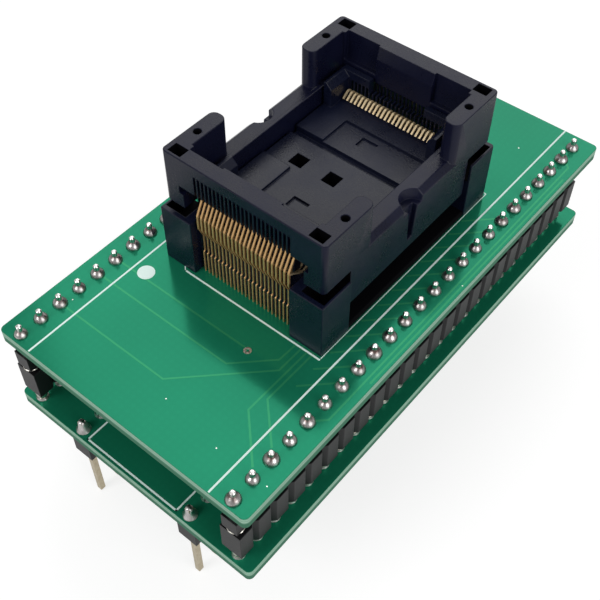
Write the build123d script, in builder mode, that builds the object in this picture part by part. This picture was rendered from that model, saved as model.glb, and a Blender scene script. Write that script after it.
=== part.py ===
"""Programming socket adapter: two stacked boards, a 48-pin header below and an open-top chip socket above.

Millimetres, +Z up. The origin is the centre of the header's pin pattern, on the plane of the pin tips.
Pin 1 is at the near (-Y) end of the left (-X) row.
"""

from build123d import *
from math import atan2, cos, hypot, pi, sin
import os

os.makedirs("parts", exist_ok=True)

# Pin patterns
pitch = 2.54
pins_per_row = 24
header_row_spacing = 15.24
plug_row_spacing = 27.94

# Boards: both have one outline, which reaches a little further past the last pins than past the first
board_side_margin = 2.23
board_end_margin = 1.59
board_shift = 0.6
board_thickness = 1.6
board_corner = 0.6

# Header under the base board
pin_width = 0.64
pin_tail = 8.5
pin_chamfer = 0.2
pin_above_board = 1.3
insulator_height = 2.54

# Break-away strips: octagonal segments, cut off short at both ends
strip_width = 2.5
strip_groove = 0.45
strip_end_wall = 0.2

# Receptacle strips and their machined sleeves, on the base board
sleeve_standoff = 1.8
receptacle_height = 3.95
sleeve_radius = 0.65
plug_depth = 3.3
plug_clearance = 0.05
plug_end_gap = 0.05

# Plug strips and their pins, under the socket board
parting_gap = 0.4
plug_height = 2.0
plug_radius = 0.33
plug_above_board = 1.4
shoulder_height = 1.05
shoulder_radius = 0.65

# Round pins and sleeves are drawn with this many flat sides, because they repeat
round_sides = 4

# The chip: a thin package with leads at both ends
chip_width = 12.0
lead_span = 20.0

# Socket: lengths run along Y from the socket's centre, heights from the socket board's top face
socket_shift = 1.9
contact_pitch = 0.5
contacts_per_end = 24
contact_width = 0.2
contact_thickness = 0.2
cover_travel = 2.3
slide_gap = 0.3

# Chip seat, above the base
seat_half_length = lead_span / 2
seat_rise = 3.0
guide_gap = 0.15
guide_width = 1.05
guide_rise = 2.9
guide_back = 2.6
guide_overhang = 1.3
guide_slope = 0.7
wall_gap = 0.55
wall_sill = 1.2
wall_slot_rise = 1.9
wall_dip_rise = 1.4
wall_dip_contacts = 14
recess_depth = 0.3
recess_margin = 0.5
recess_left = -3.6
bay_near = -2.4
bay_far = 1.95
seat_hole = 1.6
seat_hole_spacing = 4.3
seat_hole_middle = (-1.5, -0.95)
seat_groove_width = 0.9
seat_groove_depth = 0.8
angle_mark = (1.9, 1.4)
angle_mark_width = 0.35
angle_mark_depth = 0.25
angle_mark_corners = ((-0.7, -5.2), (-0.7, 6.1))

# Socket base
base_overhang = 3.15
base_height = 5.0
corner_gap = 0.1
corner_side_wall = 0.28
corner_end_wall = 0.555
corner_inner_gap = 0.45
corner_rise = 2.2
corner_bevel = 0.25
pocket_gap = 0.12

# Contacts: the leg stands on the board, the arm bends above it
leg_foot = 0.35
leg_bend_height = 2.95
leg_rise = 0.3
flexure_gap = 0.1
elbow_reach = 0.55
elbow_drop = 1.4
elbow_rise = 0.3
horn_back = 0.5
horn_rise = 2.5
finger_root_back = 0.1
finger_low_back = 1.45
finger_low_drop = 1.2
finger_bend = (0.45, -0.55)
finger_crest = (0.1, 0.95)
finger_tip = (-0.4, 0.4)

# Press-down cover
cover_overhang = 0.625
cover_rise = 6.6
cover_corner = 0.5
rail_width = 2.4
rail_clearance = 0.9
rail_height = 1.8
rail_bevel = 0.6
skirt_clearance = 1.0
bar_gap = 0.2
bar_rise = 2.2
comb_slope_rise = 0.7
comb_rise = 5.4
slot_gap = 0.06
cam_gap = 0.1
arm_width = 1.9
arm_length = 7.275
arm_round = 0.8
panel_half_width = 3.55
panel_slope = (0.35, 1.4)
relief_depth = 0.6
relief_height = 3.4
relief_end_wall = 2.2
notch_radius = 1.5
notch_depth = 1.3
notch_groove = (0.7, 0.35)
notch_groove_depth = 0.6
notch_groove_length = 4.1
corner_hole = (1.6, 1.2)
corner_hole_inset = (1.4, 0.925)
corner_hole_depth = 3.0
arm_hole_radius = 0.4
arm_hole_inset = (0.98, 3.975)
arm_hole_depth = 2.0

# Levels of the stack, from the pin tips up
insulator_top = pin_tail + insulator_height
base_board_top = insulator_top + board_thickness
receptacle_bottom = base_board_top + sleeve_standoff
receptacle_top = receptacle_bottom + receptacle_height
plug_bottom = receptacle_top + parting_gap
plug_top = plug_bottom + plug_height
socket_board_bottom = plug_top + shoulder_height
socket_floor = socket_board_bottom + board_thickness

# Tolerances of the construction itself
pick_range = 0.01
cut_margin = 0.5

# Sizes that follow from the pins, the chip and one another
row_half = (pins_per_row - 1) * pitch / 2
strip_length = 2 * (row_half + sleeve_radius + strip_end_wall)
board_width = plug_row_spacing + 2 * board_side_margin
board_length = 2 * (row_half + board_end_margin)
contacts_half_width = ((contacts_per_end - 1) * contact_pitch + contact_width) / 2
seat_height = base_height + seat_rise
guide_inner = chip_width / 2 + guide_gap
guide_start = seat_half_length - guide_back
guide_end = seat_half_length + guide_overhang
recess_half_length = guide_start - recess_margin
base_half_width = guide_inner + guide_width
base_half_length = seat_half_length + base_overhang
cover_half_width = base_half_width + slide_gap + rail_width
cover_half_length = base_half_length + cover_overhang
cover_height = seat_height + cover_rise
corner_half_width = cover_half_width + pocket_gap + corner_side_wall
corner_half_length = cover_half_length + pocket_gap + corner_end_wall
corner_start = seat_half_length + corner_gap
corner_inner = contacts_half_width + corner_inner_gap
leg_top = base_height + leg_rise
sides = (("left", -1), ("right", 1))
ends = (("front", -1), ("rear", 1))


def level(height):
    """Plane over the socket's centre, at a height above the socket board."""
    return Plane((0, socket_shift, socket_floor + height))


def near(value):
    """Narrow range around a value, for picking edges."""
    return value - pick_range, value + pick_range


def at_place(edge, x, y):
    """Whether an edge stands at one of the four places x and y from the socket's centre."""
    middle = edge.center()
    return hypot(abs(middle.X) - x, abs(middle.Y - socket_shift) - y) < pick_range


def outline_board():
    """Board outline with rounded corners, in the open sketch."""
    with Locations((0, board_shift)):
        RectangleRounded(board_width, board_length, board_corner)


def outline_strip(row_x):
    """Octagonal segments of a break-away strip, one per pin, in the open sketch."""
    side = strip_width / 2
    end = pitch / 2
    shallow = side - strip_groove
    short = end - strip_groove
    with Locations((row_x, 0)):
        with GridLocations(0, pitch, 1, pins_per_row):
            Polygon(
                (side, short),
                (shallow, end),
                (-shallow, end),
                (-side, short),
                (-side, -short),
                (-shallow, -end),
                (shallow, -end),
                (side, -short),
            )
        Rectangle(strip_width, strip_length, mode=Mode.INTERSECT)


def outline_pins(row_x, radius, mode=Mode.ADD):
    """One row of round pins or holes, drawn with a few flat sides."""
    with Locations((row_x, 0)):
        with GridLocations(0, pitch, 1, pins_per_row):
            RegularPolygon(radius, round_sides, major_radius=False, rotation=180 / round_sides, mode=mode)


def outline_header_pins(row_x, mode=Mode.ADD):
    """One row of square pins or of the holes that hold them."""
    with Locations((row_x, 0)):
        with GridLocations(0, pitch, 1, pins_per_row):
            Rectangle(pin_width, pin_width, mode=mode)


def outline_ribbon(points, width):
    """Band of one width along a chain of points, with mitred corners, in the open sketch."""
    left = []
    right = []
    for i, (x, y) in enumerate(points):
        before = points[max(i - 1, 0)]
        after = points[min(i + 1, len(points) - 1)]
        angle_in = atan2(y - before[1], x - before[0]) if i > 0 else None
        angle_out = atan2(after[1] - y, after[0] - x) if i < len(points) - 1 else angle_in
        angle_in = angle_out if angle_in is None else angle_in
        half_turn = ((angle_out - angle_in + pi) % (2 * pi) - pi) / 2
        normal = angle_in + half_turn + pi / 2
        reach = width / 2 / cos(half_turn)
        left.append((x + reach * cos(normal), y + reach * sin(normal)))
        right.append((x - reach * cos(normal), y - reach * sin(normal)))
    Polygon(*left, *reversed(right), align=None)


# Base board: the header's pins are soldered in it
with BuildPart() as base_board:
    with BuildSketch(Plane.XY.offset(insulator_top)):
        outline_board()
        for name, side in sides:
            outline_header_pins(side * header_row_spacing / 2, mode=Mode.SUBTRACT)
    extrude(amount=board_thickness)
base_board.part.label = "base_board"
export_step(base_board.part, "parts/base_board.step")

# Header: insulators below the base board, with square pins through them and the board
for name, side in sides:
    row_x = side * header_row_spacing / 2
    with BuildPart() as header_insulator:
        with BuildSketch(Plane.XY.offset(pin_tail)):
            outline_strip(row_x)
            outline_header_pins(row_x, mode=Mode.SUBTRACT)
        extrude(amount=insulator_height)
    header_insulator.part.label = f"header_insulator_{name}"
    export_step(header_insulator.part, f"parts/header_insulator_{name}.step")

    with BuildPart() as header_pins:
        with BuildSketch():
            outline_header_pins(row_x)
        extrude(amount=base_board_top + pin_above_board)
        chamfer(header_pins.edges().group_by(Axis.Z)[0], length=pin_chamfer)
    header_pins.part.label = f"header_pins_{name}"
    export_step(header_pins.part, f"parts/header_pins_{name}.step")

# Receptacle strips, held off the base board by their machined sleeves
for name, side in sides:
    row_x = side * plug_row_spacing / 2
    with BuildPart() as receptacle_strip:
        with BuildSketch(Plane.XY.offset(receptacle_bottom)):
            outline_strip(row_x)
            outline_pins(row_x, sleeve_radius, mode=Mode.SUBTRACT)
        extrude(amount=receptacle_height)
    receptacle_strip.part.label = f"receptacle_strip_{name}"
    export_step(receptacle_strip.part, f"parts/receptacle_strip_{name}.step")

    with BuildPart() as receptacle_sleeves:
        with BuildSketch(Plane.XY.offset(base_board_top)):
            outline_pins(row_x, sleeve_radius)
        extrude(amount=receptacle_top - base_board_top)
        with BuildSketch(Plane.XY.offset(receptacle_top)):
            outline_pins(row_x, plug_radius + plug_clearance)
        extrude(amount=-plug_depth - plug_end_gap, mode=Mode.SUBTRACT)
    receptacle_sleeves.part.label = f"receptacle_sleeves_{name}"
    export_step(receptacle_sleeves.part, f"parts/receptacle_sleeves_{name}.step")

# Plug strips and pins, which lift out of the sleeves with the socket board
for name, side in sides:
    row_x = side * plug_row_spacing / 2
    with BuildPart() as plug_strip:
        with BuildSketch(Plane.XY.offset(plug_bottom)):
            outline_strip(row_x)
            outline_pins(row_x, plug_radius, mode=Mode.SUBTRACT)
        extrude(amount=plug_height)
    plug_strip.part.label = f"plug_strip_{name}"
    export_step(plug_strip.part, f"parts/plug_strip_{name}.step")

    with BuildPart() as plug_pins:
        with BuildSketch(Plane.XY.offset(receptacle_top - plug_depth)):
            outline_pins(row_x, plug_radius)
        extrude(amount=socket_floor + plug_above_board - receptacle_top + plug_depth)
        with BuildSketch(Plane.XY.offset(plug_top)):
            outline_pins(row_x, shoulder_radius)
        extrude(amount=shoulder_height)
    plug_pins.part.label = f"plug_pins_{name}"
    export_step(plug_pins.part, f"parts/plug_pins_{name}.step")

# Socket board
with BuildPart() as socket_board:
    with BuildSketch(Plane.XY.offset(socket_board_bottom)):
        outline_board()
        for name, side in sides:
            outline_pins(side * plug_row_spacing / 2, plug_radius, mode=Mode.SUBTRACT)
    extrude(amount=board_thickness)
socket_board.part.label = "socket_board"
export_step(socket_board.part, "parts/socket_board.step")

# Socket base: a block between four corner posts, whose open pockets guide the cover's corners
corner_rim = base_height + corner_rise
corner_width = corner_half_width - corner_inner
corner_length = corner_half_length - corner_start
corner_spacing = (corner_half_width + corner_inner, corner_half_length + corner_start)
pocket_outer = (cover_half_width + pocket_gap, cover_half_length + pocket_gap)
pocket_inner = cover_half_width - rail_width - pocket_gap
pocket_size = (pocket_outer[0] - pocket_inner, pocket_outer[1] - corner_start)
pocket_spacing = (pocket_outer[0] + pocket_inner, pocket_outer[1] + corner_start)
with BuildPart() as socket_base:
    with BuildSketch(level(0)):
        Rectangle(2 * base_half_width, 2 * base_half_length)
    extrude(amount=base_height)
    with BuildSketch(level(0)):
        with GridLocations(*corner_spacing, 2, 2):
            Rectangle(corner_width, corner_length)
    extrude(amount=corner_rim)
    with BuildSketch(level(corner_rim)):
        with GridLocations(*pocket_spacing, 2, 2):
            Rectangle(*pocket_size)
    extrude(amount=base_height - corner_rim, mode=Mode.SUBTRACT)
    rear_edges = socket_base.edges().filter_by(Axis.Z).group_by(Axis.Y)[-1]
    chamfer([edge for edge in rear_edges if abs(edge.center().X) > pocket_outer[0]], length=corner_bevel)
socket_base.part.label = "socket_base"
export_step(socket_base.part, "parts/socket_base.step")

# Chip seat: a block with a stepped top and four sloped corner guides, which slotted walls join over the contacts
guide_spacing = base_half_width + guide_inner
slot_width = contact_width + 2 * slot_gap
wall_start = seat_half_length + wall_gap
wall_depth = guide_end - wall_start
wall_spacing = guide_end + wall_start
wall_dip = (wall_dip_contacts * contact_pitch, wall_depth)
recess_middle = (recess_left + base_half_width) / 2
bay_middle = ((recess_left - base_half_width) / 2, (bay_near + bay_far) / 2)
with BuildPart() as chip_seat:
    with BuildSketch(level(base_height)):
        Rectangle(2 * base_half_width, 2 * seat_half_length)
    extrude(amount=seat_height - base_height)
    with BuildSketch(level(seat_height)):
        with GridLocations(guide_spacing, guide_start + guide_end, 2, 2):
            Rectangle(guide_width, guide_end - guide_start)
    extrude(amount=guide_rise)
    guide_tops = chip_seat.edges().group_by(Axis.Z)[-1].filter_by(Axis.Y)
    inner_tops = [edge for edge in guide_tops if abs(edge.center().X) < guide_spacing / 2]
    chamfer(inner_tops, length=guide_slope)
    with BuildSketch(level(base_height)):
        with GridLocations(0, wall_spacing, 1, 2):
            Rectangle(2 * guide_inner, wall_depth)
    extrude(amount=seat_rise)
    with BuildSketch(level(seat_height)):
        with GridLocations(0, wall_spacing, 1, 2):
            Rectangle(2 * base_half_width, wall_depth)
    extrude(amount=guide_rise)
    with BuildSketch(level(base_height + wall_sill)):
        with GridLocations(contact_pitch, wall_spacing, contacts_per_end, 2):
            Rectangle(slot_width, wall_depth)
    extrude(amount=seat_rise + wall_slot_rise - wall_sill, mode=Mode.SUBTRACT)
    with BuildSketch(level(seat_height + guide_rise)):
        with GridLocations(0, wall_spacing, 1, 2):
            Rectangle(*wall_dip)
    extrude(amount=wall_dip_rise - guide_rise, mode=Mode.SUBTRACT)
    with BuildSketch(level(seat_height)):
        with Locations((recess_middle, 0)):
            Rectangle(base_half_width - recess_left, 2 * recess_half_length)
        with Locations(bay_middle):
            Rectangle(base_half_width + recess_left, bay_far - bay_near)
    extrude(amount=-recess_depth, mode=Mode.SUBTRACT)
    with BuildSketch(level(seat_height)):
        with Locations((0, bay_far + seat_groove_width / 2)):
            Rectangle(2 * base_half_width, seat_groove_width)
    extrude(amount=-seat_groove_depth, mode=Mode.SUBTRACT)
    with BuildSketch(level(seat_height - recess_depth)):
        with Locations(*angle_mark_corners):
            Rectangle(angle_mark[0], angle_mark_width, align=(Align.MIN, Align.MAX))
            Rectangle(angle_mark_width, angle_mark[1], align=(Align.MIN, Align.MAX))
    extrude(amount=-angle_mark_depth, mode=Mode.SUBTRACT)
    with BuildSketch(level(seat_height)):
        with Locations(seat_hole_middle):
            with GridLocations(seat_hole_spacing, 0, 2, 1):
                Rectangle(seat_hole, seat_hole)
    extrude(amount=base_height - seat_height, mode=Mode.SUBTRACT)
chip_seat.part.label = "chip_seat"
export_step(chip_seat.part, "parts/chip_seat.step")

# Contacts: stamped legs on the board, and the spring arms above them that the cover's cams push out
leg_inner = base_half_length
leg_outer = leg_inner + leg_foot
flexure = (leg_inner + contact_thickness / 2, leg_top + flexure_gap)
elbow = flexure[0] + elbow_reach
horn = (leg_inner - horn_back, seat_height + horn_rise)
spring_line = (flexure, (elbow, seat_height - elbow_drop), (elbow, seat_height + elbow_rise), horn)
finger_line = [
    (elbow - finger_root_back, seat_height + elbow_rise),
    (leg_inner - finger_low_back, seat_height - finger_low_drop),
]
for length, height in (finger_bend, finger_crest, finger_tip):
    finger_line.append((seat_half_length + length, seat_height + height))
contact_xs = [(i - (contacts_per_end - 1) / 2) * contact_pitch for i in range(contacts_per_end)]
contact_planes = [Plane.YZ.offset(x) for x in contact_xs]


def to_board(points, end):
    """Points measured outwards from the socket's centre and up from its board, as Y and Z."""
    return [(socket_shift + end * length, socket_floor + height) for length, height in points]


for name, end in ends:
    with BuildPart() as contact_legs:
        with BuildSketch(*contact_planes):
            Polygon(
                *to_board(
                    (
                        (leg_inner, 0),
                        (leg_outer, 0),
                        (leg_outer, leg_bend_height),
                        (leg_inner + contact_thickness, leg_bend_height + contact_thickness),
                        (leg_inner + contact_thickness, leg_top),
                        (leg_inner, leg_top),
                    ),
                    end,
                ),
                align=None,
            )
        extrude(amount=contact_width / 2, both=True)
    contact_legs.part.label = f"contact_legs_{name}"
    export_step(contact_legs.part, f"parts/contact_legs_{name}.step")

    with BuildPart() as contact_arms:
        with BuildSketch(*contact_planes):
            outline_ribbon(to_board(spring_line, end), contact_thickness)
            outline_ribbon(to_board(finger_line, end), contact_thickness)
        extrude(amount=contact_width / 2, both=True)
    contact_arms.part.label = f"contact_arms_{name}"
    export_step(contact_arms.part, f"parts/contact_arms_{name}.step")

# Cover: two rails with skirts, joined at each end by a raised bar that carries a comb of cam slots
rail_middle = cover_half_width - rail_width / 2
skirt_half_length = corner_start - slide_gap
arm_middle = cover_half_width - arm_width / 2
arm_start = cover_half_length - arm_length
rail_bottom = base_height + cover_travel + rail_clearance
rail_top = rail_bottom + rail_height
skirt_bottom = cover_travel + skirt_clearance
bar_inner = guide_end + bar_gap
bar_bottom = seat_height + bar_rise
comb_bottom = bar_bottom + comb_slope_rise
comb_top = seat_height + comb_rise
cam_foot = horn[0] - contact_thickness - cam_gap
relief_bottom = cover_height - relief_height
relief_end = cover_half_width - relief_end_wall
notch_floor = rail_top - notch_depth
notch_groove_bottom = notch_floor - notch_groove_length
corner_hole_spacing = [
    2 * (cover_half_width - corner_hole_inset[0]),
    2 * (cover_half_length - corner_hole_inset[1]),
]
arm_hole_spacing = [
    2 * (cover_half_width - arm_hole_inset[0]),
    2 * (cover_half_length - arm_hole_inset[1]),
]
with BuildPart() as cover:
    with BuildSketch(level(rail_bottom)):
        with GridLocations(2 * rail_middle, 0, 2, 1):
            Rectangle(rail_width, 2 * cover_half_length)
    extrude(amount=rail_top - rail_bottom)
    with BuildSketch(level(skirt_bottom)):
        with GridLocations(2 * rail_middle, 0, 2, 1):
            Rectangle(rail_width, 2 * skirt_half_length)
    extrude(amount=rail_bottom - skirt_bottom)
    for name, end in ends:
        with BuildSketch(Plane.YZ):
            Polygon(
                *to_board(
                    (
                        (bar_inner, bar_bottom),
                        (cam_foot, bar_bottom),
                        (cover_half_length, comb_bottom),
                        (cover_half_length, cover_height),
                        (bar_inner, cover_height),
                    ),
                    end,
                ),
                align=None,
            )
        extrude(amount=cover_half_width, both=True)
        with BuildSketch(level(rail_top)):
            with Locations((0, end * (cover_half_length + arm_start) / 2)):
                with GridLocations(2 * arm_middle, 0, 2, 1):
                    Rectangle(arm_width, cover_half_length - arm_start)
        extrude(amount=cover_height - rail_top)
    side_edges = cover.edges().filter_by(Axis.Z)
    fillet([edge for edge in side_edges if at_place(edge, cover_half_width, cover_half_length)], cover_corner)
    side_edges = cover.edges().filter_by(Axis.Z)
    arm_edges = [edge for edge in side_edges if at_place(edge, cover_half_width, arm_start)]
    arm_edges += [edge for edge in side_edges if at_place(edge, cover_half_width - arm_width, arm_start)]
    fillet(arm_edges, arm_round)
    rail_edges = cover.edges().filter_by(Axis.Y).filter_by_position(Axis.Z, *near(socket_floor + rail_top))
    chamfer([edge for edge in rail_edges if at_place(edge, cover_half_width, 0)], length=rail_bevel)

    # The slots' sloped ends are cams, which push the arms' horns out as the cover goes down
    for name, end in ends:
        with BuildSketch(*contact_planes):
            Polygon(
                *to_board(
                    (
                        (cam_foot, bar_bottom),
                        (cover_half_length, comb_top),
                        (cover_half_length + cut_margin, comb_top),
                        (cover_half_length + cut_margin, bar_bottom),
                    ),
                    end,
                ),
                align=None,
            )
        extrude(amount=slot_width / 2, both=True, mode=Mode.SUBTRACT)

    # Reliefs leave a sloped panel in the middle of each bar's inner face
    for name, end in ends:
        with BuildSketch(level(relief_bottom)):
            with Locations((0, end * (bar_inner + relief_depth / 2))):
                with GridLocations(panel_half_width + relief_end, 0, 2, 1):
                    Rectangle(relief_end - panel_half_width, relief_depth)
        extrude(amount=cover_height - relief_bottom, mode=Mode.SUBTRACT)
        with BuildSketch(Plane.YZ):
            Polygon(
                *to_board(
                    (
                        (bar_inner, cover_height),
                        (bar_inner + panel_slope[0], cover_height),
                        (bar_inner, cover_height - panel_slope[1]),
                    ),
                    end,
                ),
                align=None,
            )
        extrude(amount=panel_half_width, both=True, mode=Mode.SUBTRACT)

    # Holes in the corners, and finger notches in the rails
    with BuildSketch(level(cover_height)):
        with GridLocations(*corner_hole_spacing, 2, 2):
            Rectangle(*corner_hole)
    extrude(amount=-corner_hole_depth, mode=Mode.SUBTRACT)
    with BuildSketch(level(cover_height)):
        with GridLocations(*arm_hole_spacing, 2, 2):
            Circle(arm_hole_radius)
    extrude(amount=-arm_hole_depth, mode=Mode.SUBTRACT)
    with BuildSketch(level(notch_floor)):
        with GridLocations(2 * cover_half_width, 0, 2, 1):
            Circle(notch_radius)
    extrude(amount=rail_top - notch_floor, mode=Mode.SUBTRACT)
    for name, side in sides:
        with BuildSketch(Plane.YZ.offset(side * cover_half_width)):
            Polygon(
                *to_board(
                    (
                        (-notch_groove[0], notch_floor),
                        (-notch_groove[1], notch_groove_bottom),
                        (notch_groove[1], notch_groove_bottom),
                        (notch_groove[0], notch_floor),
                    ),
                    1,
                ),
                align=None,
            )
        extrude(amount=-side * notch_groove_depth, mode=Mode.SUBTRACT)
cover.part.label = "cover"
export_step(cover.part, "parts/cover.step")
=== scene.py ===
# %% [markdown]
# A programming socket adapter, dressed over its CAD model.
# Two green circuit boards are stacked on rows of pins, and an open-top chip socket stands on the upper one.
# The CAD model gives every size. This script adds what a maker would finish by hand: moulded edges, plated
# springs, solder joints, printed lines and the materials.
# Everything is in metres in the CAD frame. A number in millimetres is multiplied by MM, here or in a helper.

import math

import bmesh
import bpy
from mathutils import Matrix, Vector


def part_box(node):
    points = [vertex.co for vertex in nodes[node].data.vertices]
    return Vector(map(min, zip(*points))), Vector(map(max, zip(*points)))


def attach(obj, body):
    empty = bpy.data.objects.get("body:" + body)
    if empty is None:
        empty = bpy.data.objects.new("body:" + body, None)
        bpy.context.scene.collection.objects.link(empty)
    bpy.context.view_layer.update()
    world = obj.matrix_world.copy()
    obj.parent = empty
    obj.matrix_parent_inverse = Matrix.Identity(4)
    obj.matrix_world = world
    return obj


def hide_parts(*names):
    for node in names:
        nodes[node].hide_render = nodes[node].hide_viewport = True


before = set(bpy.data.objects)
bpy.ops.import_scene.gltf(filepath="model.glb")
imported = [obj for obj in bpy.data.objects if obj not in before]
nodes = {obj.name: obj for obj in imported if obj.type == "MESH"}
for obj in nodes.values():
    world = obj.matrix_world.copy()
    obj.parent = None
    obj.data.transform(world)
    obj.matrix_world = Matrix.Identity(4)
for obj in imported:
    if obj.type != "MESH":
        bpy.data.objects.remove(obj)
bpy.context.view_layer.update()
MM = 0.001


# %% [markdown]
# The levels of the stack are read from the CAD nodes, so that nothing here can drift away from them.
# The socket's centre and the top of its board are the zero point for everything on the socket.

# %% Levels read from the CAD nodes
base_low, base_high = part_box("base_board")
board_low, board_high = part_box("socket_board")
seat_low, seat_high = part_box("chip_seat")
SOCKET_Y = (seat_low.y + seat_high.y) / 2
BOARD_TOP = board_high.z
PITCH = 2.54 * MM
PIN_COUNT = 24
HEADER_X = 7.62 * MM
PLUG_X = 13.97 * MM
ROW_START = -(PIN_COUNT - 1) / 2 * PITCH
SIDES = (("left", -1), ("right", 1))
ENDS = (("front", -1), ("rear", 1))
print(f"socket centre y {SOCKET_Y / MM:.2f} mm, board top {BOARD_TOP / MM:.2f} mm")


# %% [markdown]
# A material is a small tree of nodes. Two effects are shared by several materials, so each is a shader node
# group with named inputs. These helpers make an empty group, add a node, and fill a node's inputs.

# %% Helpers for shader trees
def shader_group(name, inputs, outputs):
    """Empty shader node group with its sockets, and its two end nodes."""
    group = bpy.data.node_groups.new(name, "ShaderNodeTree")
    for label, kind, value in inputs:
        socket = group.interface.new_socket(label, in_out="INPUT", socket_type=kind)
        socket.default_value = value
    for label, kind in outputs:
        group.interface.new_socket(label, in_out="OUTPUT", socket_type=kind)
    return group, group.nodes.new("NodeGroupInput"), group.nodes.new("NodeGroupOutput")


def connect(tree, node, links):
    """Fill a node's inputs, by name or number, from other nodes' outputs or from plain values."""
    for key, value in links.items():
        if isinstance(value, bpy.types.NodeSocket):
            tree.links.new(value, node.inputs[key])
        else:
            node.inputs[key].default_value = value


def add_node(tree, kind, links=None, **settings):
    """Node with its settings, and with its inputs filled."""
    node = tree.nodes.new(kind)
    for key, value in settings.items():
        setattr(node, key, value)
    connect(tree, node, links or {})
    return node


FLOAT = "NodeSocketFloat"
VECTOR = "NodeSocketVector"
print("shader helpers ready")


# %% [markdown]
# Most materials are built from the same few nodes: a sum, a mix of two colours, a soft noise, a set of waves,
# a smooth step and a bump. One short helper for each lets a material be read as a recipe. The textures take
# their place from the object's own coordinates, so that they stay with their piece when it moves.

# %% Helpers for sums, mixes and textures
def calc(tree, operation, *values, **settings):
    """Result of a sum of plain numbers and other nodes' outputs."""
    node = add_node(tree, "ShaderNodeMath", dict(enumerate(values)), operation=operation, **settings)
    return node.outputs[0]


def blended(tree, share, first, second):
    """Colour that goes from the first to the second as the share goes from 0 to 1."""
    links = {"Factor": share, 6: first, 7: second}
    return add_node(tree, "ShaderNodeMix", links, data_type="RGBA").outputs[2]


def tinted(tree, color, tone):
    """A colour times a tone that changes over the surface."""
    node = add_node(tree, "ShaderNodeVectorMath", {0: color, "Scale": tone}, operation="SCALE")
    return node.outputs["Vector"]


def object_place(tree):
    return add_node(tree, "ShaderNodeTexCoord").outputs["Object"]


def height_of(tree):
    return add_node(tree, "ShaderNodeSeparateXYZ", {0: object_place(tree)}).outputs["Z"]


def noise(tree, scale, detail, roughness=0.5):
    """Share that wanders softly over the surface."""
    links = {"Vector": object_place(tree), "Scale": scale, "Detail": detail, "Roughness": roughness}
    return add_node(tree, "ShaderNodeTexNoise", links).outputs["Fac"]


def waves(tree, scale, distortion, direction):
    """Share that rises and falls along one direction, in slightly uneven lines."""
    links = {"Vector": object_place(tree), "Scale": scale, "Distortion": distortion, "Detail": 2.0}
    return add_node(tree, "ShaderNodeTexWave", links, bands_direction=direction).outputs["Fac"]


def smooth_step(tree, value, low, high):
    """Share that goes smoothly from 0 to 1 as the value goes from low to high."""
    links = {"Value": value, "From Min": low, "From Max": high}
    return add_node(tree, "ShaderNodeMapRange", links, interpolation_type="SMOOTHSTEP").outputs[0]


def bumped(tree, strength, depth, height):
    """Normal of a surface that a share raises by up to the depth."""
    links = {"Strength": strength, "Distance": depth, "Height": height}
    return add_node(tree, "ShaderNodeBump", links).outputs["Normal"]


print("texture helpers ready")


# %% [markdown]
# Moulded grain is the fine speckle that a spark-eroded mould leaves on plastic. It could be a texture image,
# but a noise has no seams and no edge. A fine noise gives the relief, and with a broad one it gives the tone.

# %% Shader group: moulded grain
def make_grain_group():
    group, start, end = shader_group(
        "moulded grain",
        [("Scale", FLOAT, 9000.0), ("Relief", FLOAT, 0.1), ("Mottle", FLOAT, 0.2)],
        [("Tone", FLOAT), ("Normal", VECTOR)],
    )
    fine = noise(group, start.outputs["Scale"], 3.0, 0.6)
    broad = noise(group, 260.0, 2.0)
    spread = calc(group, "SUBTRACT", calc(group, "ADD", fine, broad), 1.0)
    tone = calc(group, "MULTIPLY_ADD", spread, start.outputs["Mottle"], 1.0)
    normal = bumped(group, start.outputs["Relief"], 0.05 * MM, fine)
    connect(group, end, {"Tone": tone, "Normal": normal})
    return group


grain_group = make_grain_group()
print("group:", grain_group.name, [item.name for item in grain_group.interface.items_tree])


# %% [markdown]
# Edge shine is a paler line painted along a corner as a highlight. Painting it by hand would not follow a
# changed shape, so the group compares the true normal with a rounded one: they differ only near a corner.

# %% Shader group: edge shine
def make_edge_group():
    group, start, end = shader_group(
        "edge shine", [("Radius", FLOAT, 0.12 * MM), ("Strength", FLOAT, 0.5)], [("Mask", FLOAT)]
    )
    rounded = add_node(group, "ShaderNodeBevel", {"Radius": start.outputs["Radius"]}, samples=4).outputs[0]
    flat = add_node(group, "ShaderNodeNewGeometry").outputs["True Normal"]
    same = add_node(group, "ShaderNodeVectorMath", {0: rounded, 1: flat}, operation="DOT_PRODUCT")
    turned_away = calc(group, "SUBTRACT", 1.0, same.outputs["Value"])
    mask = calc(group, "MULTIPLY", turned_away, start.outputs["Strength"], use_clamp=True)
    connect(group, end, {"Mask": mask})
    return group


edge_group = make_edge_group()
print("group:", edge_group.name, [item.name for item in edge_group.interface.items_tree])


# %% [markdown]
# Every material starts as an empty tree with one shader and one end node. What follows only has to say what
# feeds the shader's inputs.

# %% Helper: new material
def new_material(name):
    """Material with an empty tree, its shader and its end node."""
    material = bpy.data.materials.new(name)
    material.use_nodes = True
    tree = material.node_tree
    tree.nodes.clear()
    shader = tree.nodes.new("ShaderNodeBsdfPrincipled")
    end = tree.nodes.new("ShaderNodeOutputMaterial")
    tree.links.new(shader.outputs[0], end.inputs[0])
    return material, tree, shader


print("new_material() ready")
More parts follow.
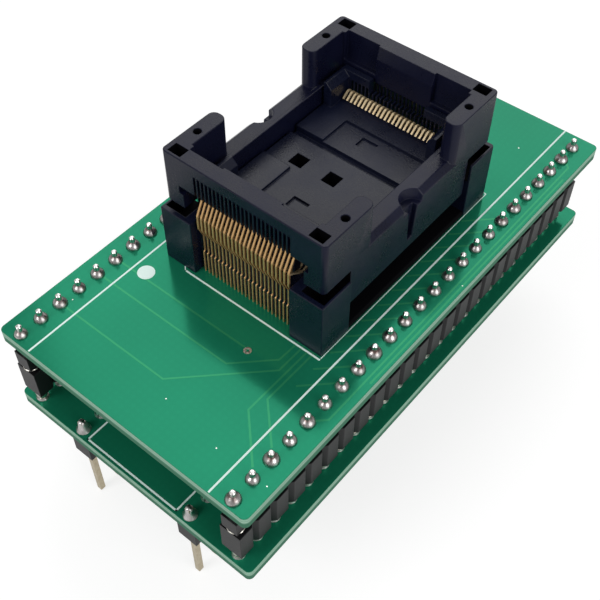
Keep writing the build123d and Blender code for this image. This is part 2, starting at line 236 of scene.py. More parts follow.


# %% [markdown]
# The plastics differ only in tone, gloss and grain, so one function makes them all. The base colour is
# multiplied by the grain's tone, and corners move a little towards a paler colour as a painted highlight.
# Little light comes back out of a hole or from under a skirt, so the deep faces take a plastic that is nearly
# black and dull, as painted shade.

# %% Plastics
def plastic(name, color, rim, roughness, gloss, relief, mottle=0.25, scale=9000.0):
    """Moulded plastic. rim is the colour of a painted highlight on its corners; relief and mottle are its
    grain's strength.
    """
    material, tree, shader = new_material(name)
    grain_inputs = {"Scale": scale, "Relief": relief, "Mottle": mottle}
    grain = add_node(tree, "ShaderNodeGroup", grain_inputs, node_tree=grain_group)
    # The edge mask paints the corners paler: a painted highlight.
    edge = add_node(tree, "ShaderNodeGroup", node_tree=edge_group)
    body = tinted(tree, color, grain.outputs["Tone"])
    surface = {
        "Base Color": blended(tree, edge.outputs["Mask"], body, (*rim, 1.0)),
        "Roughness": calc(tree, "MULTIPLY", grain.outputs["Tone"], roughness, use_clamp=True),
        "Normal": grain.outputs["Normal"],
        "Specular IOR Level": gloss,
    }
    connect(tree, shader, surface)
    return material


COARSE_GRAIN = {"roughness": 0.31, "relief": 0.4, "mottle": 0.8, "scale": 5000.0}
strip_plastic = plastic("strip_plastic", (0.006, 0.006, 0.007), (0.02, 0.02, 0.022), 0.42, 0.3, 0.12)
socket_plastic = plastic(
    "socket_plastic", (0.005, 0.007, 0.021), (0.026, 0.028, 0.044), gloss=0.28, **COARSE_GRAIN
)
cover_plastic = plastic(
    "cover_plastic", (0.005, 0.006, 0.02), (0.026, 0.028, 0.043), gloss=0.23, **COARSE_GRAIN
)
# A near-black, dull plastic for deep faces and the ground under the skirts: painted shade.
painted_shade_plastic = plastic("painted_shade_plastic", (0.002, 0.002, 0.003), (0.002, 0.002, 0.003), 0.6, 0.05, 0.2)
print("plastics:", strip_plastic.name, socket_plastic.name, cover_plastic.name, painted_shade_plastic.name)


# %% [markdown]
# A plated or soldered surface is a metal whose gloss wanders a little: solder has a soft wrinkled skin, and
# plating is smoother. One noise drives the colour, the roughness and the bump. Burnt flux leaves a brown
# stain on the upper part of the plug pins' solder. The fingers' gold is painted paler than that of the
# springs, as a painted highlight.

# %% Metals
METAL_RELIEF = 0.05 * MM
FLUX_BROWN = (0.16, 0.11, 0.1, 1.0)
FLUX_WANDER = 0.5 * MM


def metal(name, color, shade, roughness, ripple, scale, flux=None, metallic=1.0):
    """Uneven metal. flux = (low, high), heights in metres, browns it from low on and fully above high."""
    material, tree, shader = new_material(name)
    skin = noise(tree, scale, 3.0)
    tint = blended(tree, skin, (*color, 1.0), (*shade, 1.0))
    if flux:
        low, high = flux
        level = calc(tree, "MULTIPLY_ADD", skin, FLUX_WANDER, height_of(tree))
        stain = smooth_step(tree, level, low + FLUX_WANDER / 2, high + FLUX_WANDER / 2)
        tint = blended(tree, stain, tint, FLUX_BROWN)
    surface = {
        "Base Color": tint,
        "Roughness": calc(tree, "MULTIPLY_ADD", skin, 0.3, roughness - 0.15),
        "Normal": bumped(tree, ripple, METAL_RELIEF, skin),
        "Metallic": metallic,
    }
    connect(tree, shader, surface)
    return material


flux_top = (BOARD_TOP + 0.45 * MM, BOARD_TOP + 0.8 * MM)
solder = metal("solder", (0.72, 0.7, 0.69), (0.4, 0.37, 0.36), 0.3, 0.5, 1500.0)
stained_solder = metal("stained_solder", (0.62, 0.6, 0.59), (0.3, 0.27, 0.26), 0.3, 0.6, 1500.0, flux_top)
tinned_pin = metal("tinned_pin", (0.7, 0.62, 0.46), (0.5, 0.42, 0.28), 0.36, 0.2, 2200.0)
pin_core = metal("pin_core", (0.9, 0.88, 0.86), (0.6, 0.57, 0.55), 0.25, 0.2, 2500.0)
machined_tin = metal("machined_tin", (0.78, 0.76, 0.7), (0.55, 0.52, 0.46), 0.3, 0.2, 2200.0)
contact_gold = metal("contact_gold", (0.8, 0.5, 0.23), (0.5, 0.29, 0.11), 0.42, 0.2, 1800.0, metallic=0.6)
# The fingers' paler gold is a painted highlight.
finger_gold_highlight = metal("finger_gold_highlight", (0.98, 0.82, 0.54), (0.85, 0.62, 0.34), 0.3, 0.2, 1800.0, metallic=0.6)
metals = (solder, stained_solder, tinned_pin, pin_core, machined_tin, contact_gold, finger_gold_highlight)
print("metals:", [material.name for material in metals])


# %% [markdown]
# The solder mask is a thin green lacquer over copper and glass cloth. Its colour is uneven where copper lies
# under it, and the cloth's weave shows as a very faint cross-hatch. The sawn edge of the board is bare
# laminate, paler, with its plies running round it as level lines.

# %% Board materials
def mask_lacquer(name, light, dark):
    """Green lacquer that is clouded between two tones, with the weave of the cloth in it."""
    material, tree, shader = new_material(name)
    weave = calc(tree, "MULTIPLY", waves(tree, 420.0, 1.5, "X"), waves(tree, 420.0, 1.5, "Y"))
    cloud = noise(tree, 90.0, 3.0)
    share = calc(tree, "MULTIPLY_ADD", weave, 0.15, cloud)
    surface = {
        "Base Color": blended(tree, share, (*dark, 1.0), (*light, 1.0)),
        "Roughness": calc(tree, "MULTIPLY_ADD", cloud, 0.12, 0.08),
        "Normal": bumped(tree, 0.04, 0.01 * MM, weave),
        "Metallic": 0.35,
        "Specular IOR Level": 0.1,
    }
    connect(tree, shader, surface)
    return material


def bare_laminate(name, low):
    """Sawn edge of a board whose underside is at height low. Its lower part is a darker green."""
    material, tree, shader = new_material(name)
    plies = waves(tree, 900.0, 2.0, "Z")
    bare = blended(tree, plies, (0.22, 0.46, 0.32, 1.0), (0.4, 0.6, 0.47, 1.0))
    upper_share = smooth_step(tree, height_of(tree), low + 0.65 * MM, low + 1.0 * MM)
    surface = {
        "Base Color": blended(tree, upper_share, (0.025, 0.17, 0.09, 1.0), bare),
        "Normal": bumped(tree, 0.2, 0.03 * MM, plies),
        "Roughness": 0.65,
    }
    connect(tree, shader, surface)
    return material


board_mask = mask_lacquer("board_mask", (0.013, 0.25, 0.132), (0.009, 0.19, 0.102))
trace_mask = mask_lacquer("trace_mask", (0.035, 0.31, 0.14), (0.025, 0.26, 0.12))
upper_edge = bare_laminate("upper_edge", board_low.z)
lower_edge = bare_laminate("lower_edge", base_low.z)
print("board:", board_mask.name, trace_mask.name, upper_edge.name, lower_edge.name)


# %% [markdown]
# The lines on the boards are a thick white paint that was pressed through a fine screen. Its coat is slightly
# uneven, so it borrows the grain group at a finer scale, with a soft mottle.

# %% Printed ink
white_ink, ink_tree, ink_shader = new_material("white_ink")
ink_grain = add_node(ink_tree, "ShaderNodeGroup", {"Scale": 12000.0, "Mottle": 0.12}, node_tree=grain_group)
ink_surface = {
    "Base Color": tinted(ink_tree, (0.8, 0.97, 0.92), ink_grain.outputs["Tone"]),
    "Normal": ink_grain.outputs["Normal"],
    "Roughness": 0.5,
}
connect(ink_tree, ink_shader, ink_surface)
print("ink:", white_ink.name)


# %% [markdown]
# A bevel rounds an edge with a few narrow faces. A copy of a CAD node gets one only where its surface turns by
# more than 25 degrees, because a smaller turn lies between two facets of a surface that is round already.

# %% Helpers for edges
FLAT_ANGLE = math.radians(1)
SHARP_ANGLE = math.radians(25)


def link(obj):
    bpy.context.scene.collection.objects.link(obj)
    return obj


def moulded_edges(obj, width):
    """Bevel that rounds an object's edges a little."""
    bevel = obj.modifiers.new("moulded edges", "BEVEL")
    bevel.width = width
    bevel.segments = 2
    return bevel


def soft(edge):
    """Whether an edge lies inside a rounded surface, between two of its facets."""
    return len(edge.link_faces) == 2 and FLAT_ANGLE < edge.calc_face_angle(0) < SHARP_ANGLE


def middle(edge):
    return (edge.verts[0].co + edge.verts[1].co) / 2


print("edge helpers ready")


# %% [markdown]
# The moulded and cut pieces keep the CAD node's exact form. A copy of each mesh is merged, since CAD
# triangles are loose, its flat areas are joined, and its sharp edges get a small rounded bevel, because no
# moulded edge is truly sharp. Small features, such as the comb's slots, get a smaller bevel through the
# edges' weights.

# %% Helper: refined copies
FACET_WIDTH = 0.6 * MM
MERGE_DISTANCE = 0.001 * MM


def refined(node, body, materials, width, small=None, side_material=0, narrow=1.0, deep=None):
    """Bevelled copy of a CAD node that stands for it. small(edge) gives the share of the bevel's width.

    side_material is the material's number on upright faces, and deep(place) says where the last one goes.
    narrow is the share of its width that the copy keeps.
    """
    mesh = nodes[node].data.copy()
    mesh.name = node + "_refined"
    mesh.materials.clear()
    for material in materials:
        mesh.materials.append(material)
    shape = bmesh.new()
    shape.from_mesh(mesh)
    bmesh.ops.remove_doubles(shape, verts=shape.verts, dist=MERGE_DISTANCE)
    bmesh.ops.dissolve_limit(shape, angle_limit=FLAT_ANGLE, verts=shape.verts, edges=shape.edges)
    weight = shape.edges.layers.float.new("bevel_weight_edge")
    middle_x = sum(vert.co.x for vert in shape.verts) / len(shape.verts)
    for vert in shape.verts:
        vert.co.x = middle_x + (vert.co.x - middle_x) * narrow
    for face in shape.faces:
        longest = max(edge.calc_length() for edge in face.edges)
        facet = face.calc_area() / longest < FACET_WIDTH
        face.smooth = facet and any(soft(edge) for edge in face.edges)
        face.material_index = side_material if abs(face.normal.z) < 0.5 else 0
        # Deep faces take the last material, which paints shade there.
        if deep and deep(face.calc_center_median()):
            face.material_index = len(materials) - 1
    for edge in shape.edges:
        sharp = len(edge.link_faces) == 2 and edge.calc_face_angle(0) > SHARP_ANGLE
        edge[weight] = (small(edge) if small else 1.0) if sharp else 0.0
    shape.to_mesh(mesh)
    shape.free()
    obj = link(bpy.data.objects.new(node + "_refined", mesh))
    bevel = moulded_edges(obj, width)
    bevel.limit_method = "WEIGHT"
    bevel.use_clamp_overlap = False
    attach(obj, body)
    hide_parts(node)
    return obj


print("refined() ready")


# %% [markdown]
# The strips are bars of black plastic, notched between the pins and snapped off a longer bar. The boards
# are cut from a sheet. Both need only softened edges. The plug strips are drawn narrower than their CAD
# node, because they look so from above, and the upright faces of a board take the laminate's material.

# %% Strips and boards
STRIP_CUT = 29.8 * MM
PLUG_STRIP_SHARE = 0.76


def strip_share(edge):
    """Smaller bevel where a strip was cut off, because only a sliver of its corner is left there."""
    return 0.3 if abs(middle(edge).y) > STRIP_CUT else 1.0


strips = []
for name, _ in SIDES:
    for node, body, narrow in (
        (f"header_insulator_{name}", "base_module", 1.0),
        (f"receptacle_strip_{name}", "base_module", 1.0),
        (f"plug_strip_{name}", "socket_module", PLUG_STRIP_SHARE),
    ):
        strips.append(
            refined(node, body, [strip_plastic], 0.06 * MM, small=strip_share, narrow=narrow)
        )
boards = [
    refined("base_board", "base_module", [board_mask, lower_edge], 0.05 * MM, side_material=1),
    refined("socket_board", "socket_module", [board_mask, upper_edge], 0.05 * MM, side_material=1),
]
print("strips:", len(strips), "boards:", len(boards))


# %% [markdown]
# The cover's comb has walls of 0.18 mm between its slots, so an edge that belongs to the comb takes only
# about an eighth of the bevel. The last three tests say which faces lie deep inside a hole or a pocket,
# where the near-black plastic goes as painted shade.

# %% Thin edges and deep places of the socket
def from_socket(place):
    """A place in millimetres: across and along from the socket's centre, and up from its board."""
    return abs(place.x) / MM, abs(place.y - SOCKET_Y) / MM, (place.z - BOARD_TOP) / MM


def comb_share(edge):
    """Smaller bevel on the comb's walls, and where a wall beside a pocket or under an arm is thin."""
    across, length, height = from_socket(middle(edge))
    if across < 6.2 and length > 11.9 and height < 13.9:
        return 0.12
    if 7.4 < across < 8.3 and length > 9.5 and height < 10.5:
        return 0.12
    if across < 9.35 and 11.4 < length < 13.5 and height > 14.5:
        return 0.4
    return 1.0


def seat_share(edge):
    """Smaller bevel on the ribs of the seat's end walls."""
    across, length, height = from_socket(middle(edge))
    return 0.25 if across < 6.0 and length > 10.4 and height < 10.0 else 1.0


def in_seat_hole(place):
    """Inside the seat's square holes, which go right through it."""
    across, length, height = from_socket(place)
    return across < 5.5 and length < 9.0 and 2.0 < height < 7.0


def in_cover_pocket(place):
    """Inside the square pockets and round holes in the tops of the cover's corners."""
    across, length, height = from_socket(place)
    square = 7.6 < across < 9.4 and 12.2 < length < 13.5
    round_hole = 8.5 < across < 9.35 and 9.35 < length < 10.25
    return (square or round_hole) and height < 14.55


def in_post_pocket(place):
    """Inside the open pockets in the tops of the base's corner posts."""
    across, length, height = from_socket(place)
    return 6.4 < across < 10.1 and 11.5 < length < 14.0 and 4.9 < height < 7.1


print("tests for the socket's edges and faces ready")


# %% [markdown]
# The socket's base, seat and cover are three mouldings. Each stands for its CAD node, with its own width of
# bevel. The cover rides on its own body, since it slides down on the base.

# %% Socket mouldings
socket_base = refined(
    "socket_base",
    "socket_module",
    [socket_plastic, painted_shade_plastic],
    0.08 * MM,
    deep=in_post_pocket,
)
chip_seat = refined(
    "chip_seat",
    "socket_module",
    [socket_plastic, painted_shade_plastic],
    0.06 * MM,
    small=seat_share,
    deep=in_seat_hole,
)
cover = refined(
    "cover",
    "press_cover",
    [cover_plastic, painted_shade_plastic],
    0.1 * MM,
    small=comb_share,
    deep=in_cover_pocket,
)
print("mouldings:", socket_base.name, chip_seat.name, cover.name)


# %% [markdown]
# A black band lies on the board under each of the cover's skirts. It is drawn as a low ledge of the base,
# which is a guess. The skirts keep the light off it, so it takes the near-black plastic as painted shade. Its
# end outline is drawn once and pushed along the socket, as an extruded bar is made.

# %% Ledges under the skirts
LEDGE_OUTLINE = [(7.15, 0.0), (10.25, 0.0), (10.25, 0.42), (10.05, 0.6), (7.15, 0.6)]
LEDGE_REACH = 11.4


def baked(shape, name):
    """Mesh made from a shape, which is then freed."""
    mesh = bpy.data.meshes.new(name)
    shape.to_mesh(mesh)
    shape.free()
    return mesh


def ledge(name, side):
    """Bar of the ledge's outline along one side of the socket, with softened corners."""
    shape = bmesh.new()
    ends = []
    for y in (SOCKET_Y - LEDGE_REACH * MM, SOCKET_Y + LEDGE_REACH * MM):
        corners = [(side * x * MM, y, BOARD_TOP + height * MM) for x, height in LEDGE_OUTLINE]
        ends.append([shape.verts.new(corner) for corner in corners])
    near, far = ends
    shape.faces.new(near)
    shape.faces.new(far)
    for i in range(len(near)):
        shape.faces.new((near[i - 1], near[i], far[i], far[i - 1]))
    bmesh.ops.recalc_face_normals(shape, faces=shape.faces)
    mesh = baked(shape, name)
    # The ledge's near-black plastic is painted shade.
    mesh.materials.append(painted_shade_plastic)
    obj = link(bpy.data.objects.new(name, mesh))
    moulded_edges(obj, 0.05 * MM)
    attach(obj, "socket_module")
    return obj


ledges = [ledge(f"shade_ledge_{name}", side) for name, side in SIDES]
print("ledges:", [[round(x / MM, 2) for x in piece.dimensions] for piece in ledges])


# %% [markdown]
# Geometry Nodes build a mesh from a recipe with named inputs. Every tree here begins and ends alike: its
# inputs come in, and at the end its copies are made real and get their material.

# %% Helpers for geometry trees
INT = "NodeSocketInt"
MATERIAL = "NodeSocketMaterial"
GEOMETRY = "NodeSocketGeometry"


def geometry_tree(name, inputs):
    """Empty geometry tree with its named inputs, and its two end nodes."""
    tree = bpy.data.node_groups.new(name, "GeometryNodeTree")
    tree.interface.new_socket("Geometry", in_out="INPUT", socket_type=GEOMETRY)
    for label, kind in inputs:
        tree.interface.new_socket(label, in_out="INPUT", socket_type=kind)
    tree.interface.new_socket("Geometry", in_out="OUTPUT", socket_type=GEOMETRY)
    return tree, tree.nodes.new("NodeGroupInput"), tree.nodes.new("NodeGroupOutput")


def finish_tree(tree, start, end, instances):
    """Make the copies real, give them their material and send them out."""
    real = add_node(tree, "GeometryNodeRealizeInstances", {"Geometry": instances})
    links = {"Geometry": real.outputs[0], "Material": start.outputs["Material"]}
    painted = add_node(tree, "GeometryNodeSetMaterial", links)
    tree.links.new(painted.outputs[0], end.inputs[0])


print("geometry helpers ready")


# %% [markdown]
# Pins, sleeves and solder joints repeat at one pitch. Geometry Nodes place them: one small shape goes in, a
# line of points carries copies of it, each turned and scaled by a seeded random amount, and the copies are
# made real at the end. The same tree serves every row, with its own count, pitch, start and seed.

# %% Geometry tree: a row along the board
TURN_LIMIT = 3.0


def make_row_tree():
    """Copies along Y. Each turns about Z by up to TURN_LIMIT radians either way.

    Tilt is the most that one leans, in radians, and Size change is the most that one shrinks.
    """
    tree, start, end = geometry_tree(
        "row along the board",
        [
            ("Count", INT),
            ("Pitch", FLOAT),
            ("Start", VECTOR),
            ("Tilt", FLOAT),
            ("Size change", FLOAT),
            ("Seed", INT),
            ("Material", MATERIAL),
        ],
    )
    step = add_node(tree, "ShaderNodeCombineXYZ", {"Y": start.outputs["Pitch"]})
    line = add_node(
        tree,
        "GeometryNodeMeshLine",
        {
            "Count": start.outputs["Count"],
            "Start Location": start.outputs["Start"],
            "Offset": step.outputs[0],
        },
        mode="OFFSET",
        count_mode="TOTAL",
    )
    tilt = start.outputs["Tilt"]
    low_tilt = calc(tree, "MULTIPLY", tilt, -1.0)
    low = add_node(tree, "ShaderNodeCombineXYZ", {"X": low_tilt, "Y": low_tilt, "Z": -TURN_LIMIT})
    high = add_node(tree, "ShaderNodeCombineXYZ", {"X": tilt, "Y": tilt, "Z": TURN_LIMIT})
    seed = start.outputs["Seed"]
    turn_links = {0: low.outputs[0], 1: high.outputs[0], "Seed": seed}
    turn = add_node(tree, "FunctionNodeRandomValue", turn_links, data_type="FLOAT_VECTOR")
    least = calc(tree, "SUBTRACT", 1.0, start.outputs["Size change"])
    size = add_node(tree, "FunctionNodeRandomValue", {2: least, 3: 1.0, "Seed": seed}, data_type="FLOAT")
    copies = add_node(
        tree,
        "GeometryNodeInstanceOnPoints",
        {
            "Points": line.outputs[0],
            "Instance": start.outputs["Geometry"],
            "Rotation": turn.outputs[0],
            "Scale": size.outputs[1],
        },
    )
    finish_tree(tree, start, end, copies.outputs[0])
    return tree


row_tree = make_row_tree()
print("tree:", row_tree.name, "with", len(row_tree.nodes), "nodes")


# %% [markdown]
# A tree needs a mesh to run on. This helper puts it on one, fills its named inputs, and keeps the result as a
# plain mesh, so that no modifier is left when the piece gets its body.

# %% Helper: grow a piece from a tree
def grow(name, seed_mesh, tree, body, values, stands_for=(), smooth_degrees=35):
    """Run a tree on one small mesh and keep the result as a plain piece that rides on a body."""
    maker = link(bpy.data.objects.new(name + "_maker", seed_mesh))
    modifier = maker.modifiers.new("grow", "NODES")
    modifier.node_group = tree
    for item in tree.interface.items_tree:
        if item.in_out == "INPUT" and item.name in values:
            modifier[item.identifier] = values[item.name]
    bpy.context.view_layer.update()
    grown = maker.evaluated_get(bpy.context.evaluated_depsgraph_get())
    mesh = bpy.data.meshes.new_from_object(grown)
    maker.modifiers.clear()
    bpy.data.objects.remove(maker)
    mesh.name = name
    mesh.shade_smooth()
    mesh.set_sharp_from_angle(angle=math.radians(smooth_degrees))
    piece = link(bpy.data.objects.new(name, mesh))
    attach(piece, body)
    if stands_for:
        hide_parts(*stands_for)
    return piece


print("grow() ready")


# %% [markdown]
# Sleeves, pins and joints are round, so each is a profile that is turned on an axis, as a lathe does. Drawing
# the profile as a list of points keeps every step of it in sight. The second helper lists what a row needs.

# %% Helpers: turned shapes and rows
def turned(name, profile, sides):
    """Round shape turned on the Z axis from (radius, height) points in mm; a radius of 0 closes it."""
    shape = bmesh.new()
    rings = []
    for radius, height in profile:
        if radius == 0:
            rings.append([shape.verts.new((0, 0, height * MM))])
            continue
        ring = []
        for i in range(sides):
            angle = 2 * math.pi * i / sides
            x = radius * MM * math.cos(angle)
            y = radius * MM * math.sin(angle)
            ring.append(shape.verts.new((x, y, height * MM)))
        rings.append(ring)
    for lower, upper in zip(rings, rings[1:]):
        for i in range(sides):
            after = (i + 1) % sides
            below = [lower[i % len(lower)], lower[after % len(lower)]]
            above = [upper[after % len(upper)], upper[i % len(upper)]]
            shape.faces.new(list(dict.fromkeys(below + above)))
    bmesh.ops.recalc_face_normals(shape, faces=shape.faces)
    return baked(shape, name)


def row_values(x, z, material, tilt=0.0, change=0.0, seed=1):
    return {
        "Count": PIN_COUNT,
        "Pitch": PITCH,
        "Start": (x, ROW_START, z),
        "Tilt": tilt,
        "Size change": change,
        "Seed": seed,
        "Material": material,
    }


print("turned() and row_values() ready")


# %% [markdown]
# A machined sleeve is a small brass tube, turned on a lathe and plated. Its flange lies on top of the
# strip, its body stands between the strip and the lower board, and the plug pin slides down its bore. The
# plug pin has a collar that rests on its own strip and carries the upper board. Each is one profile, turned
# and repeated.

# %% Profiles of the sleeves and plug pins
BORE_DEPTH = 3.35
LATHE_SIDES = 12
sleeve_low, sleeve_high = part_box("receptacle_sleeves_left")
plug_low, plug_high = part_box("plug_pins_left")
plug_strip_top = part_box("plug_strip_left")[1].z
sleeve_tall = (sleeve_high.z - sleeve_low.z) / MM
sleeve_profile = [
    (0, sleeve_tall - BORE_DEPTH),
    (0.38, sleeve_tall - BORE_DEPTH),
    (0.38, sleeve_tall - 0.1),
    (0.5, sleeve_tall + 0.1),
    (0.84, sleeve_tall + 0.1),
    (0.9, sleeve_tall + 0.04),
    (0.9, sleeve_tall),
    (0.65, sleeve_tall),
    (0.65, 0.5),
    (0.5, 0.35),
    (0.5, 0.0),
    (0, 0.0),
]
collar_low = (plug_strip_top - plug_low.z) / MM
collar_high = (board_low.z - plug_low.z) / MM
pin_tall = (plug_high.z - plug_low.z) / MM
plug_profile = [
    (0, 0.0),
    (0.2, 0.04),
    (0.3, 0.35),
    (0.33, 0.6),
    (0.33, collar_low),
    (0.65, collar_low + 0.02),
    (0.65, collar_low + 0.35),
    (0.5, collar_low + 0.5),
    (0.5, collar_high - 0.2),
    (0.65, collar_high - 0.1),
    (0.65, collar_high),
    (0.33, collar_high),
    (0.3, pin_tall - 0.15),
    (0.18, pin_tall - 0.02),
    (0, pin_tall),
]
sleeve_shape = turned("sleeve_shape", sleeve_profile, LATHE_SIDES)
plug_shape = turned("plug_shape", plug_profile, LATHE_SIDES)
print("sleeve height", round(sleeve_tall, 2), "plug pin length", round(pin_tall, 2))


# %% [markdown]
# The row tree sets 24 sleeves and 24 plug pins on each side. Machined parts are all alike, so these rows
# neither lean nor change in size.

# %% Machined sleeves and plug pins
for name, side in SIDES:
    grow(
        f"machined_sleeves_{name}",
        sleeve_shape,
        row_tree,
        "base_module",
        row_values(side * PLUG_X, sleeve_low.z, machined_tin),
        stands_for=(f"receptacle_sleeves_{name}",),
    )
    grow(
        f"turned_plug_pins_{name}",
        plug_shape,
        row_tree,
        "socket_module",
        row_values(side * PLUG_X, plug_low.z, pin_core),
        stands_for=(f"plug_pins_{name}",),
    )
print("rows of", PIN_COUNT, "sleeves and plug pins on", len(SIDES), "sides")


# %% [markdown]
# Header pins are square wire, cut to a blunt pyramid at the tip. Their copy is only bevelled.

# %% Header pins
for name, _ in SIDES:
    refined(f"header_pins_{name}", "base_module", [tinned_pin], 0.03 * MM)
print("header pins refined")


# %% [markdown]
# Solder wets the pin and its round pad, so a joint is a hollow cone: wide and thin on the board, steep at the
# pin. No two are quite alike, which the tree's random turn and size give. The upper board has one round each
# plug pin, and the lower board has taller ones round the header's square pins, with low ones at the sleeves.

# %% Solder joints
JOINT_SIDES = 14
plug_joint = turned(
    "plug_joint",
    [(0.84, 0.0), (0.85, 0.06), (0.8, 0.25), (0.68, 0.45), (0.54, 0.6), (0.42, 0.7), (0.34, 0.78), (0, 0.79)],
    JOINT_SIDES,
)
header_joint = turned(
    "header_joint",
    [(0.84, 0.0), (0.82, 0.04), (0.66, 0.3), (0.54, 0.65), (0.47, 1.0), (0.4, 1.35), (0.26, 1.5), (0, 1.52)],
    JOINT_SIDES,
)
foot_joint = turned(
    "foot_joint", [(0.76, 0.0), (0.75, 0.03), (0.7, 0.1), (0.66, 0.22), (0, 0.22)], JOINT_SIDES
)
under_joint = turned(
    "under_joint",
    [(0.84, 0.0), (0.8, -0.05), (0.6, -0.25), (0.4, -0.5), (0.2, -0.62), (0, -0.65)],
    JOINT_SIDES,
)
# Name, shape, body, place across, height, material, tilt, size change and seed
JOINTS = (
    ("plug_joints", plug_joint, "socket_module", PLUG_X, BOARD_TOP, stained_solder, 0.1, 0.18, 3),
    ("header_joints", header_joint, "base_module", HEADER_X, base_high.z, solder, 0.05, 0.1, 8),
    ("sleeve_feet", foot_joint, "base_module", PLUG_X, base_high.z, solder, 0.04, 0.06, 23),
    ("sleeve_joints", under_joint, "base_module", PLUG_X, base_low.z, solder, 0.05, 0.12, 13),
)
for name, side in SIDES:
    for joint, shape, body, x, z, material, tilt, change, seed in JOINTS:
        values = row_values(side * x, z, material, tilt, change, seed + side)
        grow(f"{joint}_{name}", shape, row_tree, body, values, smooth_degrees=60)
print("solder joints:", [row[0] for row in JOINTS])


# %% [markdown]
# Each contact is a stamped strip bent into a spring. The bank of 24 is a bent line of points that Geometry
# Nodes round at its corners, sweep with a flat rectangular section, and repeat at 0.5 mm. Bending a box for
# each would be slow to change, while here a new bend is one more point in a line.

# %% Geometry tree: a bank of springs
def swept_section(tree, curve, width, height):
    """Mesh of a rectangle that is swept along a curve, with closed ends."""
    section = add_node(
        tree, "GeometryNodeCurvePrimitiveQuadrilateral", {"Width": width, "Height": height}, mode="RECTANGLE"
    )
    links = {"Curve": curve, "Profile Curve": section.outputs[0], "Fill Caps": True}
    return add_node(tree, "GeometryNodeCurveToMesh", links).outputs[0]


def make_bank_tree():
    """Copies of one bent strip along X. Width lies across X, and Thickness in the plane of the bends."""
    tree, start, end = geometry_tree(
        "bank of springs",
        [
            ("Count", INT),
            ("Pitch", FLOAT),
            ("Width", FLOAT),
            ("Thickness", FLOAT),
            ("Bend radius", FLOAT),
            ("Material", MATERIAL),
        ],
    )
    curve = add_node(tree, "GeometryNodeMeshToCurve", {"Mesh": start.outputs["Geometry"]})
    radius = start.outputs["Bend radius"]
    bend = {"Curve": curve.outputs[0], "Count": 3, "Radius": radius, "Limit Radius": True}
    bent = add_node(tree, "GeometryNodeFilletCurve", bend, mode="POLY")
    swept = swept_section(tree, bent.outputs[0], start.outputs["Width"], start.outputs["Thickness"])
    gaps = calc(tree, "SUBTRACT", start.outputs["Count"], 1.0)
    span = calc(tree, "MULTIPLY", gaps, start.outputs["Pitch"])
    first = calc(tree, "MULTIPLY", span, -0.5)
    origin = add_node(tree, "ShaderNodeCombineXYZ", {"X": first})
    step = add_node(tree, "ShaderNodeCombineXYZ", {"X": start.outputs["Pitch"]})
    line = add_node(
        tree,
        "GeometryNodeMeshLine",
        {"Count": start.outputs["Count"], "Start Location": origin.outputs[0], "Offset": step.outputs[0]},
        mode="OFFSET",
        count_mode="TOTAL",
    )
    copies = add_node(tree, "GeometryNodeInstanceOnPoints", {"Points": line.outputs[0], "Instance": swept})
    finish_tree(tree, start, end, copies.outputs[0])
    return tree


bank_tree = make_bank_tree()
print("tree:", bank_tree.name, "with", len(bank_tree.nodes), "nodes")


# %% [markdown]
# Four parts show at each end: the legs that stand on the board, the springs that bow outwards, the fingers
# that reach over the seat, painted paler as a highlight, and the cover's dark comb teeth between them. Each
# is one line of points, outwards and up from the socket's centre in millimetres. How long and deep the teeth
# are is a guess.

# %% Lines of the contacts and comb teeth
def line_mesh(name, lines):
    """Lines of points in metres, as a mesh of edges."""
    shape = bmesh.new()
    for points in lines:
        chain = [shape.verts.new(point) for point in points]
        for one, other in zip(chain, chain[1:]):
            shape.edges.new((one, other))
    return baked(shape, name)


LEG = [(13.42, 0.0), (13.42, 2.9), (13.24, 2.98), (13.24, 5.38)]
SPRING = [(13.25, 5.3), (13.8, 6.6), (13.8, 8.3), (12.65, 10.5)]
FINGER = [(13.78, 8.25), (13.2, 7.85), (11.7, 6.8), (10.5, 7.45), (10.35, 8.7), (10.05, 9.1), (9.1, 8.3)]
TOOTH = [(12.2, 10.6), (12.35, 7.5)]
CONTACT_COUNT = 24
SPRING_VALUES = {
    "Count": CONTACT_COUNT,
    "Pitch": 0.5 * MM,
    "Width": 0.2 * MM,
    "Thickness": 0.2 * MM,
    "Bend radius": 0.5 * MM,
    "Material": contact_gold,
}
# The fingers take the paler gold, a painted highlight.
FINGER_VALUES = {**SPRING_VALUES, "Width": 0.22 * MM, "Material": finger_gold_highlight}
LEG_VALUES = {**SPRING_VALUES, "Width": 0.13 * MM, "Thickness": 0.15 * MM, "Bend radius": 0.03 * MM}
TOOTH_VALUES = {
    **SPRING_VALUES,
    "Count": CONTACT_COUNT - 1,
    "Width": 0.18 * MM,
    "Thickness": 0.9 * MM,
    "Material": cover_plastic,
}
print("points in a leg, spring, finger and tooth:", [len(line) for line in (LEG, SPRING, FINGER, TOOTH)])


# %% [markdown]
# Both ends are alike but mirrored, so one loop makes them. The springs and fingers swing with their end's
# contacts, the legs stay on the board, and the teeth go down with the cover. The teeth are plastic, but they
# repeat as the contacts do, so the same tree makes them.

